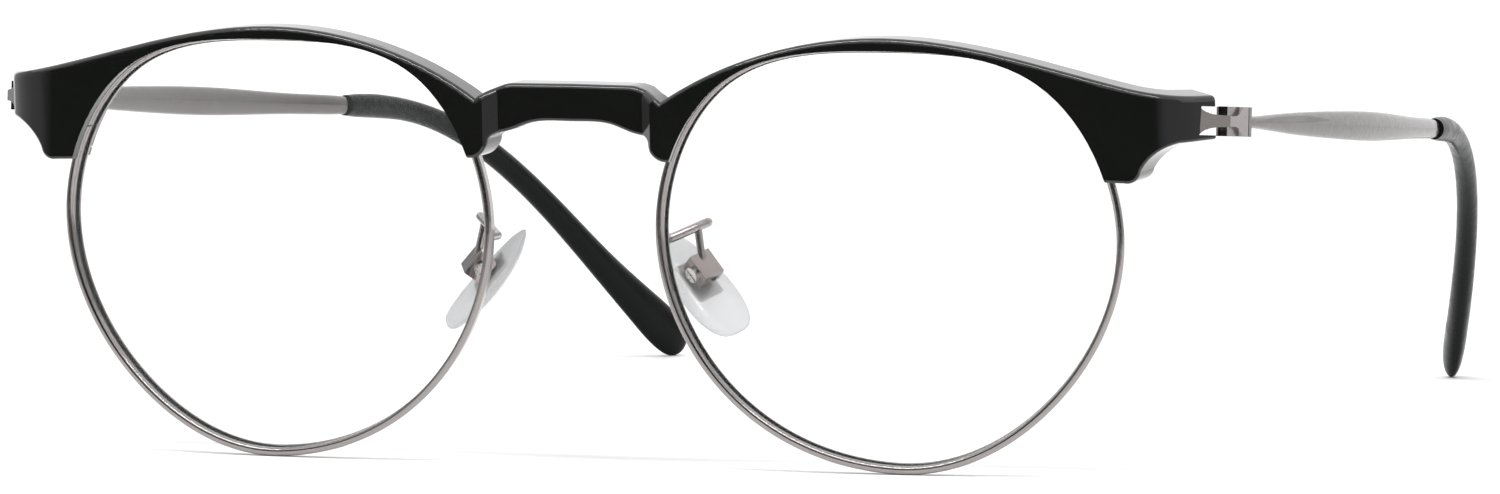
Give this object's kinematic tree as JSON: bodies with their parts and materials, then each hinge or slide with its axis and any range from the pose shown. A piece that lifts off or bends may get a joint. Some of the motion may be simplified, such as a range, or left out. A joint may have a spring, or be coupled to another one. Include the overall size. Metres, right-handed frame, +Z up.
{
  "type": "browline eyeglasses",
  "caption": "Browline eyeglasses with a black bar over thin round metal rims, clear lenses, screw-on silicone nose pads and folding spindle temples with drop-bent tips.",
  "frame": {"origin": "centre of the footprint, on the surface the glasses stand on", "axes": "+Z up, front faces -Y, temples open towards +Y, X = 0 is the mirror plane with the wearer's left at -X as seen from the front"},
  "size_m": [0.1396, 0.1514, 0.0462],
  "materials": {
    "acetate": "polished black, rounded edges",
    "gunmetal": "polished gunmetal plating",
    "lens": "clear, uncoated demo lens",
    "tip": "black moulded sleeve, satin gloss",
    "pad_metal": "polished plating",
    "screw_steel": "machined small screws",
    "silicone": "clear soft silicone"
  },
  "bodies": {
    "front": {"brow_bar": "acetate", "brow_screw_left": "screw_steel", "brow_screw_right": "screw_steel", "end_piece_left": "gunmetal", "end_piece_right": "gunmetal", "hinge_screw_left": "screw_steel", "hinge_screw_right": "screw_steel", "lens_left": "lens", "lens_right": "lens", "pad_arm_left": "pad_metal", "pad_arm_right": "pad_metal", "pad_box_left": "pad_metal", "pad_box_right": "pad_metal", "pad_screw_left": "screw_steel", "pad_screw_right": "screw_steel", "rim_left": "gunmetal", "rim_lock_left": "gunmetal", "rim_lock_right": "gunmetal", "rim_lock_screw_left": "screw_steel", "rim_lock_screw_right": "screw_steel", "rim_right": "gunmetal"},
    "temple_left_body": {"temple_left": "gunmetal", "temple_tip_left": "tip"},
    "nose_pad_left_body": {"nose_pad_left": "silicone", "pad_insert_left": "pad_metal"},
    "temple_right_body": {"temple_right": "gunmetal", "temple_tip_right": "tip"},
    "nose_pad_right_body": {"nose_pad_right": "silicone", "pad_insert_right": "pad_metal"}
  },
  "joints": [
    {"name": "temple_left_fold", "type": "hinge", "parent": "front", "child": "temple_left_body", "pos_m": [-0.06705, -0.05617, 0.03696], "axis": [0, -0.0707, -0.9975], "range_deg": [0, 82]},
    {"name": "temple_right_fold", "type": "hinge", "parent": "front", "child": "temple_right_body", "pos_m": [0.06705, -0.05617, 0.03696], "axis": [0, 0.0707, 0.9975], "range_deg": [0, 75]},
    {"name": "nose_pad_left_rock", "type": "hinge", "parent": "front", "child": "nose_pad_left_body", "pos_m": [-0.01265, -0.06836, 0.02091], "axis": [-0.4807, 0.8174, 0.3175], "range_deg": [-5, 5]},
    {"name": "nose_pad_right_rock", "type": "hinge", "parent": "front", "child": "nose_pad_right_body", "pos_m": [0.01265, -0.06836, 0.02091], "axis": [-0.4807, -0.8174, -0.3175], "range_deg": [-5, 5]}
  ]
}
